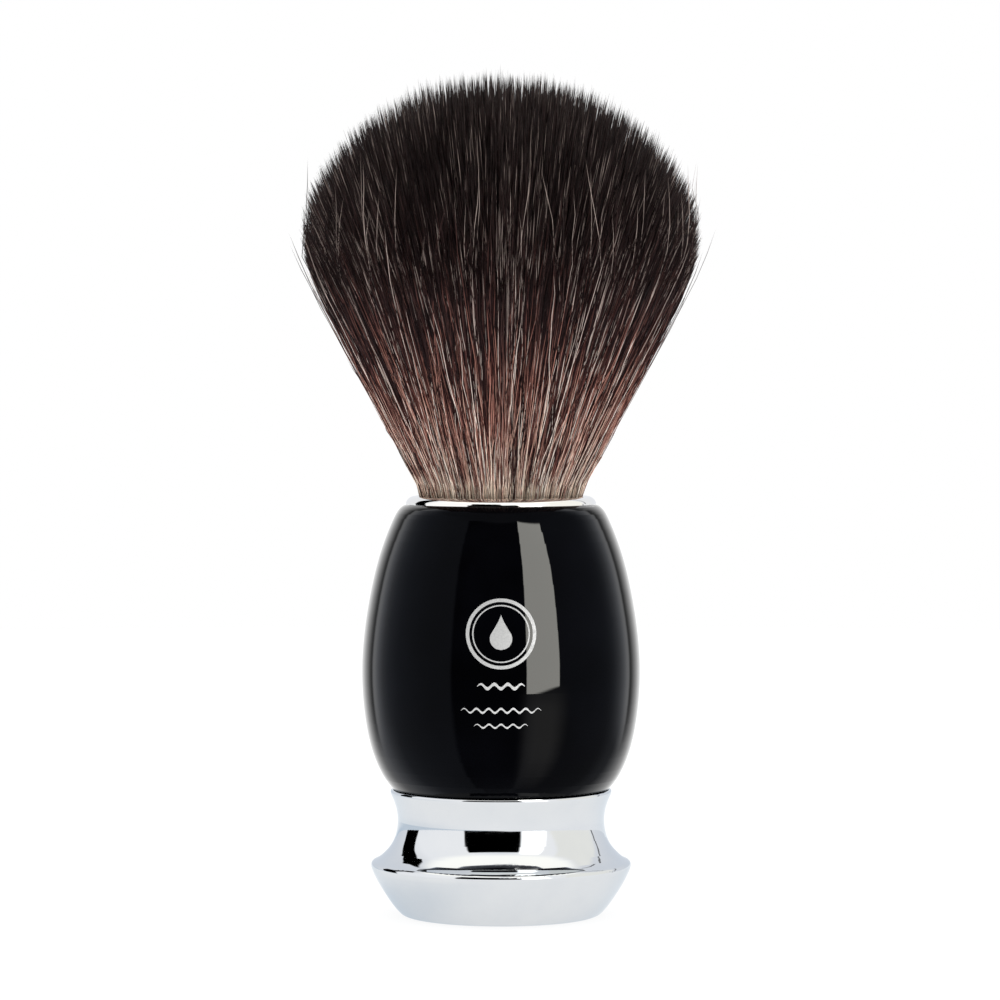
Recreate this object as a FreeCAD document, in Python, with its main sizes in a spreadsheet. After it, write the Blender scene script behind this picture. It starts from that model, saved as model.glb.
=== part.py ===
import FreeCAD, Part
import math
import os

import Sketcher

# Shaving brush with a medium 21 mm knot, standing on its foot.
# Millimetres, +Z up, origin at the centre of the foot, Z is the brush axis.
#
#   base casting -> screwed to -> barrel -> collar and knot glued into its top
#   The fibre root stays in the ferrule, the fibre bloom flexes about the
#   mouth of the collar.

V = FreeCAD.Vector
Cst = Sketcher.Constraint

doc = FreeCAD.newDocument("shaving_brush")
sheet = doc.addObject("Spreadsheet::Sheet", "dims")
sheet.Label = "dims"


class Q:
    """A number of the sheet, or arithmetic on it, with its expression."""

    def __init__(self, expr, val):
        self.expr = expr
        self.val = float(val)

    @staticmethod
    def of(x):
        return x if isinstance(x, Q) else Q(repr(float(x)), x)

    def __add__(self, o):
        o = Q.of(o)
        return Q("(%s + %s)" % (self.expr, o.expr), self.val + o.val)

    def __sub__(self, o):
        o = Q.of(o)
        return Q("(%s - %s)" % (self.expr, o.expr), self.val - o.val)

    def __mul__(self, o):
        o = Q.of(o)
        return Q("(%s * %s)" % (self.expr, o.expr), self.val * o.val)

    def __truediv__(self, o):
        o = Q.of(o)
        return Q("(%s / %s)" % (self.expr, o.expr), self.val / o.val)


def leg(hyp, side):
    """The other leg of a right triangle."""
    h, s = Q.of(hyp), Q.of(side)
    return Q("sqrt(%s * %s - %s * %s)" % (h.expr, h.expr, s.expr, s.expr),
             math.sqrt(h.val ** 2 - s.val ** 2))


DIMS = {}
ROW = [0]


def dim(alias, value, note=""):
    ROW[0] += 1
    row = str(ROW[0])
    sheet.set("A" + row, alias)
    sheet.set("B" + row, repr(float(value)))
    sheet.setAlias("B" + row, alias)
    if note:
        sheet.set("C" + row, note)
    DIMS[alias] = float(value)
    return Q("dims." + alias, value)


# ---------------------------------------------------------------- dimensions
# levels along the axis
base_top = dim("base_top", 15.95, "top land of the base casting")
joint_lvl = dim("joint_lvl", 16.0, "bottom face of the barrel")
barrel_top = dim("barrel_top", 52.0, "top land of the barrel")
pivot_lvl = dim("pivot_lvl", 53.0, "mouth of the collar, where the knot bends")
bloom_top = dim("bloom_top", 106.4, "top of the fibre dome")

# base casting, inside
recess_rad = dim("recess_rad", 10.7, "recess for the foot plug")
recess_deep = dim("recess_deep", 1.4)
pocket_rad = dim("pocket_rad", 6.6, "pocket for the screw head")
seat_lvl = dim("seat_lvl", 7.2, "face the washers bear on")
hole_rad = dim("hole_rad", 2.75, "clearance hole of the screw")
spigot_rad = dim("spigot_rad", 6.0, "spigot that centres the barrel")
spigot_top = dim("spigot_top", 18.4)
oring_groove_rad = dim("oring_groove_rad", 4.9)
oring_groove_lvl = dim("oring_groove_lvl", 16.6)
oring_groove_wide = dim("oring_groove_wide", 1.3)
oring_rad = dim("oring_rad", 5.5, "centre line of the seal")
oring_cord = dim("oring_cord", 0.5, "cord radius of the seal")

# foot plug
plug_rad = dim("plug_rad", 10.6)
plug_low = dim("plug_low", 0.15, "underside, just above the standing plane")
plug_bevel = dim("plug_bevel", 0.3)
rib_out = dim("rib_out", 6.5)
rib_in = dim("rib_in", 5.6)
rib_top = dim("rib_top", 3.4)

# screw M5 x 20 and its washers
screw_rad = dim("screw_rad", 2.45)
thread_root = dim("thread_root", 2.0)
thread_pitch = dim("thread_pitch", 0.8)
thread_flat = dim("thread_flat", 0.1)
head_rad = dim("head_rad", 4.75)
head_low = dim("head_low", 2.2)
head_top = dim("head_top", 5.0)
head_round = dim("head_round", 1.0)
screw_tip = dim("screw_tip", 25.1)
first_groove = dim("first_groove", 17.6)
recess_len = dim("recess_len", 2.3, "half length of the cross recess")
recess_wid = dim("recess_wid", 0.9)
recess_dep = dim("recess_dep", 1.7)
split_top = dim("split_top", 6.2, "spring washer between head and plain washer")
split_in = dim("split_in", 2.6)
split_out = dim("split_out", 4.5)
split_gap = dim("split_gap", 0.6)
washer_in = dim("washer_in", 2.65)
washer_out = dim("washer_out", 5.4)

# threaded insert in the barrel
insert_rad = dim("insert_rad", 4.0)
insert_low = dim("insert_low", 18.8)
insert_top = dim("insert_top", 27.0)
insert_bore = dim("insert_bore", 2.15)
insert_root = dim("insert_root", 2.6)
knurl_deep = dim("knurl_deep", 0.25)
knurl_half = dim("knurl_half", 0.22)

# barrel, inside
counter_rad = dim("counter_rad", 6.1, "counterbore over the spigot")
counter_top = dim("counter_top", 18.6)
web_low = dim("web_low", 27.4)
web_top = dim("web_top", 35.0)
socket_rad = dim("socket_rad", 11.3, "socket that takes collar and knot")

# collar, glue, knot cup
collar_out = dim("collar_out", 11.1, "skirt of the collar")
collar_in = dim("collar_in", 10.75)
collar_low = dim("collar_low", 44.0)
lip_rad = dim("lip_rad", 12.02, "outer edge of the collar lip")
lip_edge = dim("lip_edge", 0.16, "height of the lip's outer edge")
lip_top = dim("lip_top", 53.0)
lip_crown = dim("lip_crown", 10.95, "radius where the lip is highest")
lip_dome = dim("lip_dome", 1.15, "curvature of the lip outside the crown")
lip_roll = dim("lip_roll", 0.62, "curvature of the lip inside the crown")
mouth_rad = dim("mouth_rad", 10.36)
mouth_low = dim("mouth_low", 52.35)
glue_top = dim("glue_top", 51.8)
spacer_rad = dim("spacer_rad", 11.0)
spacer_thick = dim("spacer_thick", 1.0)
bed_floor = dim("bed_floor", 0.6)
cup_out = dim("cup_out", 10.65)
cup_in = dim("cup_in", 10.25)
cup_floor = dim("cup_floor", 0.8)
cup_top = dim("cup_top", 52.2)
plug_top = dim("plug_top", 45.2, "top of the resin that holds the fibre ends")
resin_rad = dim("resin_rad", 10.22)

# fibres
root_rad = dim("root_rad", 10.15)
waist_rad = dim("waist_rad", 9.45)
waist_low = dim("waist_low", 45.9)
waist_top = dim("waist_top", 47.8)
twine_rad = dim("twine_rad", 0.3, "radius of the binding twine")
twine_step = dim("twine_step", 0.55)
root_ball = dim("root_ball", 17.0, "ball about the bend point, fixed side")
bloom_ball = dim("bloom_ball", 17.3, "ball about the bend point, moving side")
root_rim = dim("root_rim", 14.85)
bloom_rim = dim("bloom_rim", 15.2)
dome_rad = dim("dome_rad", 28.2, "ball of the dome, centred on the axis")
dome_rim = dim("dome_rim", 24.55, "where the dome meets the shoulder")

# Outer profiles of the two turned and polished pieces: points (radius,
# height) joined by tangent arcs. The third number is the arc's radius to the
# next point, positive where the surface bulges outward.
BASE_PROFILE = [
    (12.0800, 0.0000, 1.0253), (12.7710, 0.2678, 5.9583),
    (13.3200, 0.8400, 15.4991), (14.1982, 1.9920, 38.7643),
    (15.0000, 3.2000, 19.0018), (15.6899, 4.3737, 14.4608),
    (16.2800, 5.6000, 3.6572), (16.4132, 5.9672, 1.3185),
    (16.4700, 6.3500, 0.5310), (16.3373, 6.7011, 0.8829),
    (16.0200, 6.9300, -3.2107), (15.1550, 7.4738, -8.8562),
    (14.4200, 8.2000, -4.8363), (13.4065, 9.9662, -6.6916),
    (13.0900, 12.0000, -6.1977), (13.2977, 13.5909, -8.3064),
    (13.8600, 15.1000, 1.7503), (13.9599, 15.3531, 0.9085),
    (14.0000, 15.6200, 0.3234), (13.8994, 15.8544, 0.3475),
    (13.6600, 15.9500, 0.0),
]
BARREL_PROFILE = [
    (13.6400, 16.0000, 0.2452), (13.8768, 16.1520, 13.4248),
    (14.7993, 17.3752, 13.9803),
    (15.5595, 18.8000, 16.2322), (16.2531, 20.5682, 21.0720),
    (16.7604, 22.4000, 30.2323), (17.1922, 24.6878, 42.0913),
    (17.4718, 27.0000, 41.8657), (17.6198, 29.2477, 39.3279),
    (17.6429, 31.5000, 41.3489), (17.5000, 34.2566, 51.0636),
    (17.1908, 37.0000, 72.3382), (16.7494, 39.7600, 66.9432),
    (16.1975, 42.5000, 43.7336), (15.5546, 45.0240, 36.4536),
    (14.7479, 47.5000, 34.6232), (14.1958, 48.9128, 34.4818),
    (13.5821, 50.3000, 9.9000), (13.2850, 50.8700, 4.1000),
    (12.9200, 51.4000, 2.6000), (12.5700, 51.7500, 1.4500),
    (12.1200, 52.0000, 0.0),
]
# Fibre bloom, outside, from the rim of its underside to the dome.
BLOOM_PROFILE = [
    (19.9000, 70.5000, 0.0), (24.8500, 80.5000, 0.0),
    (25.8500, 87.0000, 12.0),
]


def profile(tag, rows):
    out = []
    for n, (rad, hgt, cur) in enumerate(rows):
        q = dim("%s_rad_%02d" % (tag, n), rad) if rad else 0.0
        z = dim("%s_hgt_%02d" % (tag, n), hgt) if hgt else 0.0
        c = dim("%s_cur_%02d" % (tag, n), abs(cur)) if cur else None
        out.append((q, z, c, 1 if cur > 0 else -1))
    return out


base_pts = profile("base", BASE_PROFILE)
barrel_pts = profile("barrel", BARREL_PROFILE)
bloom_pts = profile("bloom", BLOOM_PROFILE)
doc.recompute()


# ------------------------------------------------------------------- helpers
def plane_of(body, role):
    for f in body.Origin.OriginFeatures:
        if getattr(f, "Role", "") == role:
            return f
    raise RuntimeError("no " + role)


def new_body(label):
    body = doc.addObject("PartDesign::Body", label)
    body.Label = label
    return body


def new_sketch(body, name, role="XZ_Plane", lift=None):
    sk = body.newObject("Sketcher::SketchObject", name)
    sk.AttachmentSupport = (plane_of(body, role), [""])
    sk.MapMode = "FlatFace"
    if lift is not None:
        lift = Q.of(lift)
        sk.AttachmentOffset = FreeCAD.Placement(V(0, 0, lift.val), FreeCAD.Rotation())
        sk.setExpression("AttachmentOffset.Base.z", lift.expr)
    return sk


def outline(sk, pts):
    """Closed outline through pts = (x, y[, curvature, side]).

    A curvature is the radius of the arc to the next point; side +1 is the
    arc that turns left. Every point and every radius is bound to the sheet.
    """
    n = len(pts)
    P = []
    for p in pts:
        x, y = Q.of(p[0]), Q.of(p[1])
        c = Q.of(p[2]) if len(p) > 2 and p[2] is not None else None
        s = p[3] if len(p) > 3 else 1
        P.append((x, y, c, s))
    ends = []
    for i in range(n):
        x0, y0, c, s = P[i]
        x1, y1 = P[(i + 1) % n][:2]
        a, b = V(x0.val, y0.val, 0), V(x1.val, y1.val, 0)
        if c is None:
            g = sk.addGeometry(Part.LineSegment(a, b), False)
            ends.append((g, 1, 2))
        else:
            ch = b - a
            half = ch.Length / 2.0
            rise = math.sqrt(max(c.val ** 2 - half ** 2, 0.0))
            left = V(-ch.y, ch.x, 0)
            left.normalize()
            m = (a + b) * 0.5 + left * (rise * s)
            a0 = math.atan2(a.y - m.y, a.x - m.x)
            a1 = math.atan2(b.y - m.y, b.x - m.x)
            if s < 0:
                a0, a1 = a1, a0
            while a1 < a0:
                a1 += 2 * math.pi
            g = sk.addGeometry(Part.ArcOfCircle(Part.Circle(m, V(0, 0, 1), c.val), a0, a1), False)
            ends.append((g, 1, 2) if s > 0 else (g, 2, 1))
    for i in range(n):
        g, _, e = ends[i]
        g2, s2, _ = ends[(i + 1) % n]
        sk.addConstraint(Cst("Coincident", g, e, g2, s2))
    for i in range(n):
        x, y, c, _ = P[i]
        g, s2, _ = ends[i]
        for q, kind, axis, tag in ((x, "DistanceX", -2, "x"), (y, "DistanceY", -1, "y")):
            if abs(q.val) < 1e-9:
                sk.addConstraint(Cst("PointOnObject", g, s2, axis))
            else:
                k = sk.addConstraint(Cst(kind, -1, 1, g, s2, q.val))
                if q.expr[0] in "d(s":
                    name = "%s%d" % (tag, i)
                    sk.renameConstraint(k, name)
                    sk.setExpression("Constraints." + name, q.expr)
        if c is not None:
            k = sk.addConstraint(Cst("Radius", g, c.val))
            if c.expr[0] in "d(s":
                sk.renameConstraint(k, "c%d" % i)
                sk.setExpression("Constraints.c%d" % i, c.expr)
    return sk


def revolve(body, name, pts):
    sk = outline(new_sketch(body, name + "_profile"), pts)
    rev = body.newObject("PartDesign::Revolution", name)
    rev.Profile = sk
    rev.ReferenceAxis = (sk, ["V_Axis"])
    rev.Angle = 360
    doc.recompute()
    return rev


def groove(body, name, pts):
    before = body.Shape.Volume
    sk = outline(new_sketch(body, name + "_profile"), pts)
    cut = body.newObject("PartDesign::Groove", name)
    cut.Profile = sk
    cut.ReferenceAxis = (sk, ["V_Axis"])
    cut.Angle = 360
    doc.recompute()
    if not body.Shape.Volume < before - 1e-4:
        raise RuntimeError(name + " cuts nothing")
    return cut


def pocket(body, name, pts, lift, depth, up=True):
    before = body.Shape.Volume
    sk = outline(new_sketch(body, name + "_outline", "XY_Plane", lift), pts)
    cut = body.newObject("PartDesign::Pocket", name)
    cut.Profile = sk
    depth = Q.of(depth)
    cut.Length = depth.val
    cut.setExpression("Length", depth.expr)
    cut.Reversed = bool(up)
    doc.recompute()
    if not body.Shape.Volume < before - 1e-4:
        raise RuntimeError(name + " cuts nothing")
    return cut


def along(body, name, feature, step, count):
    before = body.Shape.Volume
    pat = body.newObject("PartDesign::LinearPattern", name)
    pat.Originals = [feature]
    pat.Direction = (plane_of(body, "Z_Axis"), [""])
    length = step * (count - 1)
    pat.Length = length.val
    pat.setExpression("Length", length.expr)
    pat.Occurrences = count
    body.Tip = pat
    doc.recompute()
    if not body.Shape.Volume < before - 1e-4:
        raise RuntimeError(name + " repeats nothing")
    return pat


def around(body, name, feature, count):
    before = body.Shape.Volume
    pat = body.newObject("PartDesign::PolarPattern", name)
    pat.Originals = [feature]
    pat.Axis = (plane_of(body, "Z_Axis"), [""])
    pat.Angle = 360
    pat.Occurrences = count
    body.Tip = pat
    doc.recompute()
    if not body.Shape.Volume < before - 1e-4:
        raise RuntimeError(name + " repeats nothing")
    return pat


def tube(label, r_out, r_in, low, high):
    """A ring made of two cylinders, the inner one cut from the outer."""
    made = []
    for tag, q in (("outer", r_out), ("inner", r_in)):
        cyl = doc.addObject("Part::Cylinder", label + "_" + tag)
        cyl.setExpression("Radius", q.expr)
        cyl.setExpression("Height", (high - low).expr)
        cyl.setExpression("Placement.Base.z", low.expr)
        made.append(cyl)
    cut = doc.addObject("Part::Cut", label)
    cut.Label = label
    cut.Base, cut.Tool = made
    doc.recompute()
    return cut


def disc(label, rad, low, high):
    cyl = doc.addObject("Part::Cylinder", label)
    cyl.Label = label
    cyl.setExpression("Radius", rad.expr)
    cyl.setExpression("Height", (high - low).expr)
    cyl.setExpression("Placement.Base.z", low.expr)
    doc.recompute()
    return cyl


NODES = []


def keep(obj):
    NODES.append(obj)
    return obj


def arcs(rows):
    return [(p[0], p[1], p[2], p[3]) for p in rows]


# ------------------------------------------------------------- base casting
# Chrome-plated casting: bowl-shaped foot, rolled rim, waisted neck. The
# spigot on top centres the barrel; underneath there is a pocket for the
# screw head and a shallow recess that the foot plug closes.
body = new_body("base")
revolve(body, "base_turned", arcs(base_pts[:-1]) + [
    (base_pts[-1][0], base_top),
    (spigot_rad, base_top),
    (spigot_rad, spigot_top - 0.3),
    (spigot_rad - 0.3, spigot_top),
    (hole_rad, spigot_top),
    (hole_rad, seat_lvl),
    (pocket_rad, seat_lvl),
    (pocket_rad, recess_deep),
    (recess_rad, recess_deep),
    (recess_rad, 0.25),
    (recess_rad + 0.25, 0.0),
])
groove(body, "seal_groove", [
    (oring_groove_rad, oring_groove_lvl),
    (spigot_rad + 0.5, oring_groove_lvl),
    (spigot_rad + 0.5, oring_groove_lvl + oring_groove_wide),
    (oring_groove_rad, oring_groove_lvl + oring_groove_wide),
])
keep(body)

# ---------------------------------------------------------------- foot plug
# Elastomer disc that lies flush in the recess, with a ring-shaped rib that
# grips the wall of the screw pocket.
body = new_body("foot_plug")
revolve(body, "plug_moulded", [
    (0.0, plug_low + 0.25),
    (plug_rad * 0.45, plug_low + 0.25),
    (plug_rad * 0.5, plug_low),
    (plug_rad - plug_bevel, plug_low),
    (plug_rad, plug_low + plug_bevel),
    (plug_rad, recess_deep),
    (rib_out, recess_deep),
    (rib_out, rib_top),
    (rib_in, rib_top),
    (rib_in, recess_deep),
    (0.0, recess_deep),
])
keep(body)

# ---------------------------------------------------------------- tie screw
# M5 pan head screw. The thread is a row of rings at the real pitch.
body = new_body("tie_screw")
revolve(body, "screw_blank", [
    (0.0, head_low),
    (head_rad - head_round, head_low, head_round, 1),
    (head_rad, head_low + head_round),
    (head_rad, head_top),
    (screw_rad, head_top),
    (screw_rad, screw_tip - 0.7),
    (screw_rad - 0.5, screw_tip - 0.2),
    (screw_rad - 0.55, screw_tip),
    (0.0, screw_tip),
])
half = (thread_pitch - thread_flat) / 2.0
slope = (screw_rad - thread_root)
over = Q.of(0.15)
reach = half * ((slope + over).val / slope.val)
ring = groove(body, "thread_ring", [
    (thread_root, first_groove),
    (screw_rad + over, first_groove - reach),
    (screw_rad + over, first_groove + reach),
])
along(body, "thread_rings", ring, thread_pitch, 9)
arm = pocket(body, "recess_arm", [
    (-0.05, recess_wid * -0.5),
    (recess_len, recess_wid * -0.5),
    (recess_len, recess_wid * 0.5),
    (-0.05, recess_wid * 0.5),
], head_low, recess_dep, up=True)
around(body, "recess_cross", arm, 4)
keep(body)

# ------------------------------------------------------------------ washers
body = new_body("spring_washer")
revolve(body, "split_ring", [
    (split_in, head_top),
    (split_out, head_top),
    (split_out, split_top),
    (split_in, split_top),
])
pocket(body, "split", [
    (split_in * 0.8, split_gap * -0.5),
    (split_out * 1.1, split_gap * -0.5),
    (split_out * 1.1, split_gap * 0.5),
    (split_in * 0.8, split_gap * 0.5),
], head_top - 0.5, split_top - head_top + 1.0, up=True)
keep(body)

keep(tube("plain_washer", washer_out, washer_in, split_top, seat_lvl))

# ---------------------------------------------------------------- base seal
seal = doc.addObject("Part::Torus", "base_seal")
seal.Label = "base_seal"
seal.setExpression("Radius1", oring_rad.expr)
seal.setExpression("Radius2", oring_cord.expr)
seal.setExpression("Placement.Base.z", (oring_groove_lvl + oring_groove_wide / 2.0).expr)
doc.recompute()
keep(seal)

# ------------------------------------------------------------ barrel insert
# Knurled brass insert moulded into the barrel; its rings mesh with those of
# the screw with 0.15 mm of room.
body = new_body("barrel_insert")
revolve(body, "insert_turned", [
    (insert_root, insert_low),
    (insert_rad - 0.3, insert_low),
    (insert_rad, insert_low + 0.3),
    (insert_rad, insert_top - 0.3),
    (insert_rad - 0.3, insert_top),
    (insert_bore, insert_top),
    (insert_bore, insert_low + 0.35),
])
first_insert = first_groove + thread_pitch * 2.5
reach2 = half * ((slope + over).val / slope.val)
ring = groove(body, "insert_ring", [
    (insert_root, first_insert),
    (insert_bore - over, first_insert + reach2),
    (insert_bore - over, first_insert - reach2),
])
along(body, "insert_rings", ring, thread_pitch, 9)
cut = pocket(body, "knurl_groove", [
    (insert_rad - knurl_deep, 0.0),
    (insert_rad + 0.1, knurl_half * -1.0),
    (insert_rad + 0.1, knurl_half),
], insert_low - 0.5, insert_top - insert_low + 1.0, up=True)
around(body, "knurl", cut, 24)
keep(body)

# ------------------------------------------------------------------- barrel
# Turned and polished resin barrel. Bottom: counterbore for the spigot and a
# bore for the insert. Top: the socket for collar and knot.
body = new_body("barrel")
revolve(body, "barrel_turned", arcs(barrel_pts[:-1]) + [
    (barrel_pts[-1][0], barrel_top),
    (socket_rad, barrel_top),
    (socket_rad, web_top),
    (0.0, web_top),
    (0.0, web_low),
    (insert_rad, web_low),
    (insert_rad, counter_top),
    (counter_rad, counter_top),
    (counter_rad, joint_lvl + 0.2),
    (counter_rad + 0.2, joint_lvl),
])
keep(body)

# ------------------------------------------------------- collar and its glue
# Thin chrome-plated sleeve: the skirt goes down the socket, the domed lip
# lies on the barrel's top land and covers the rim of the knot cup.
body = new_body("collar")
revolve(body, "collar_spun", [
    (collar_in, collar_low),
    (collar_out, collar_low),
    (collar_out, barrel_top),
    (lip_rad, barrel_top),
    (lip_rad, barrel_top + lip_edge, lip_dome, 1),
    (lip_crown, lip_top, lip_roll, 1),
    (mouth_rad, lip_top - 0.42),
    (mouth_rad, mouth_low),
    (collar_in, mouth_low),
])
keep(body)

keep(tube("collar_adhesive", socket_rad, collar_out, collar_low, glue_top))

# -------------------------------------------------------- bed of the knot
spacer_top = web_top + spacer_thick
keep(disc("loft_spacer", spacer_rad, web_top, spacer_top))

cup_low = spacer_top + bed_floor
body = new_body("bedding_epoxy")
revolve(body, "bed_cast", [
    (0.0, spacer_top),
    (socket_rad, spacer_top),
    (socket_rad, collar_low - 0.2),
    (cup_out, collar_low - 0.2),
    (cup_out, cup_low),
    (0.0, cup_low),
])
keep(body)

body = new_body("knot_ferrule")
revolve(body, "cup_moulded", [
    (0.0, cup_low),
    (cup_out - 0.4, cup_low),
    (cup_out, cup_low + 0.4),
    (cup_out, cup_top),
    (cup_in, cup_top),
    (cup_in, cup_low + cup_floor),
    (0.0, cup_low + cup_floor),
])
keep(body)

keep(disc("knot_plug", resin_rad, cup_low + cup_floor, plug_top))

# -------------------------------------------------------------- twine binding
turns = []
for n in range(3):
    t = doc.addObject("Part::Torus", "twine_turn_%d" % (n + 1))
    t.setExpression("Radius1", (waist_rad + twine_rad + 0.02).expr)
    t.setExpression("Radius2", twine_rad.expr)
    mid = (waist_low + waist_top) / 2.0 + twine_step * float(n - 1)
    t.setExpression("Placement.Base.z", mid.expr)
    turns.append(t)
wound = doc.addObject("Part::MultiFuse", "knot_binding")
wound.Label = "knot_binding"
wound.Shapes = turns
doc.recompute()
keep(wound)

# ------------------------------------------------------------------- fibres
# Root: the tied bundle inside the ferrule, flaring out of the collar up to
# a ball-shaped face about the bend point.
body = new_body("fibre_root")
revolve(body, "root_bundle", [
    (0.0, plug_top),
    (root_rad - 0.05, plug_top),
    (root_rad - 0.05, waist_low - 0.3),
    (waist_rad, waist_low),
    (waist_rad, waist_top),
    (root_rad, waist_top + 0.5),
    (root_rad, pivot_lvl),
    (root_rim, pivot_lvl + leg(root_ball, root_rim), root_ball, 1),
    (0.0, pivot_lvl + root_ball),
])
keep(body)

# Bloom: the free fibres as one closed solid, a flared cone under a dome,
# hollowed underneath by a ball slightly larger than the root's, so that it
# swings about the bend point without touching the root.
body = new_body("fibre_bloom")
revolve(body, "bloom_bundle", [
    (0.0, pivot_lvl + bloom_ball, bloom_ball, -1),
    (bloom_rim, pivot_lvl + leg(bloom_ball, bloom_rim)),
] + arcs(bloom_pts) + [
    (dome_rim, bloom_top - dome_rad + leg(dome_rad, dome_rim), dome_rad, 1),
    (0.0, bloom_top),
])
keep(body)

# ------------------------------------------------------------ check and write
doc.recompute()
for obj in doc.Objects:
    state = [str(x) for x in obj.State]
    if any(("Invalid" in x) or ("Error" in x) for x in state):
        raise RuntimeError("%s failed: %s" % (obj.Label, state))
    if obj.TypeId == "Sketcher::SketchObject":
        if obj.solve() != 0:
            raise RuntimeError("sketch %s does not solve" % obj.Name)
        if not obj.FullyConstrained:
            raise RuntimeError("sketch %s is not fully constrained" % obj.Name)

os.makedirs("parts", exist_ok=True)
for obj in NODES:
    s = obj.Shape
    if s.isNull() or not s.isValid() or s.Volume <= 0:
        raise RuntimeError("bad shape: " + obj.Label)
    if len(s.Solids) != 1:
        raise RuntimeError("%s has %d solids" % (obj.Label, len(s.Solids)))
    s.exportStep("parts/%s.step" % obj.Label)
    bb = s.BoundBox
    print("%-16s volume %10.2f  r %.2f  z %.2f..%.2f" % (obj.Label, s.Volume, bb.XMax, bb.ZMin, bb.ZMax))
print(len(NODES), "sub-parts,", ROW[0], "dimensions")
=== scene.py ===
import bpy
import bmesh
import math
import numpy as np
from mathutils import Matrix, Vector


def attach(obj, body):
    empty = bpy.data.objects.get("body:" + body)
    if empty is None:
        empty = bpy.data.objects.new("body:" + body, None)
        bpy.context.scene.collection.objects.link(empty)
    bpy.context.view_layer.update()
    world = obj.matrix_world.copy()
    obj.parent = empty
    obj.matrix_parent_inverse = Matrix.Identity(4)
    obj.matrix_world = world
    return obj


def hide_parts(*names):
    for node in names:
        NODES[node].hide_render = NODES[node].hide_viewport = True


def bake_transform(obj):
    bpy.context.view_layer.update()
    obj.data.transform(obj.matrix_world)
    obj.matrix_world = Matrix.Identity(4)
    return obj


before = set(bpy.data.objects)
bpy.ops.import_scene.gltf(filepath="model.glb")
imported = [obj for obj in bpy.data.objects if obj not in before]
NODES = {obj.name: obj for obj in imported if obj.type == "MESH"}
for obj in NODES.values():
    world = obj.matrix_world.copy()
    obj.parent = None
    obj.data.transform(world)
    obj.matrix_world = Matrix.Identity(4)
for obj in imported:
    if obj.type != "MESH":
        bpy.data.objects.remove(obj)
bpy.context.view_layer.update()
scene = bpy.context.scene
MM = 0.001


# --------------------------------------------------------------------- camera
def make_camera():
    dist, height, aim_z = 507.0 * MM, 67.2 * MM, 52.5 * MM
    cam = bpy.data.cameras.new("camera")
    cam.sensor_width = 36.0
    pitch = math.atan2(height - aim_z, dist)
    cam.lens = 36.0 * (dist / math.cos(pitch)) / (126.5 * MM)
    cam.clip_start, cam.clip_end = 0.01, 50.0
    obj = bpy.data.objects.new("camera", cam)
    scene.collection.objects.link(obj)
    obj.location = (-0.127 * MM, -dist, height)
    obj.rotation_euler = (math.pi / 2 - pitch, 0.0, 0.0)
    scene.camera = obj


make_camera()
scene.view_settings.view_transform = "Standard"
scene.view_settings.look = "None"


# ------------------------------------------------------------- node helpers
class Net:
    """Short calls for a node tree."""

    def __init__(self, tree):
        self.t = tree

    def node(self, kind, **attrs):
        n = self.t.nodes.new(kind)
        for k, v in attrs.items():
            setattr(n, k, v)
        return n

    def put(self, socket, value):
        if isinstance(value, bpy.types.NodeSocket):
            self.t.links.new(value, socket)
        else:
            socket.default_value = value

    def math(self, op, a, b=None, c=None, clamp=False):
        n = self.node("ShaderNodeMath", operation=op, use_clamp=clamp)
        self.put(n.inputs[0], a)
        if b is not None:
            self.put(n.inputs[1], b)
        if c is not None:
            self.put(n.inputs[2], c)
        return n.outputs[0]

    def step(self, x, lo, hi, smooth=True, to=(0.0, 1.0)):
        n = self.node("ShaderNodeMapRange")
        n.interpolation_type = "SMOOTHSTEP" if smooth else "LINEAR"
        self.put(n.inputs["Value"], x)
        for tag, v in (("From Min", lo), ("From Max", hi), ("To Min", to[0]), ("To Max", to[1])):
            self.put(n.inputs[tag], v)
        return n.outputs["Result"]

    def mix(self, fac, a, b, mode="MIX"):
        n = self.node("ShaderNodeMix", data_type="RGBA", blend_type=mode)
        self.put(n.inputs[0], fac)
        self.put(n.inputs[6], a)
        self.put(n.inputs[7], b)
        return n.outputs[2]

    def ramp(self, fac, stops, interp="LINEAR"):
        n = self.node("ShaderNodeValToRGB")
        cr = n.color_ramp
        cr.interpolation = interp
        while len(cr.elements) < len(stops):
            cr.elements.new(0.5)
        for e, (p, c) in zip(cr.elements, stops):
            e.position = p
            e.color = tuple(c) + (1.0,) if len(c) == 3 else tuple(c)
        self.put(n.inputs[0], fac)
        return n.outputs["Color"]

    def noise(self, vec, scale, detail=2.0, rough=0.5, dims="3D", w=None):
        n = self.node("ShaderNodeTexNoise", noise_dimensions=dims)
        if vec is not None:
            self.put(n.inputs["Vector"], vec)
        if w is not None:
            self.put(n.inputs["W"], w)
        n.inputs["Scale"].default_value = scale
        n.inputs["Detail"].default_value = detail
        n.inputs["Roughness"].default_value = rough
        return n.outputs["Fac"]

    def bump(self, height, strength, distance):
        n = self.node("ShaderNodeBump")
        n.inputs["Strength"].default_value = strength
        n.inputs["Distance"].default_value = distance
        self.put(n.inputs["Height"], height)
        return n.outputs["Normal"]

    def stretched(self, sx, sy, sz):
        tc = self.node("ShaderNodeTexCoord")
        mp = self.node("ShaderNodeMapping")
        mp.inputs["Scale"].default_value = (sx, sy, sz)
        self.put(mp.inputs["Vector"], tc.outputs["Object"])
        return mp.outputs["Vector"]


def material(name):
    m = bpy.data.materials.new(name)
    m.use_nodes = True
    m.node_tree.nodes.clear()
    net = Net(m.node_tree)
    out = net.node("ShaderNodeOutputMaterial")
    p = net.node("ShaderNodeBsdfPrincipled")
    net.put(out.inputs["Surface"], p.outputs["BSDF"])
    return m, net, p


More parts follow.
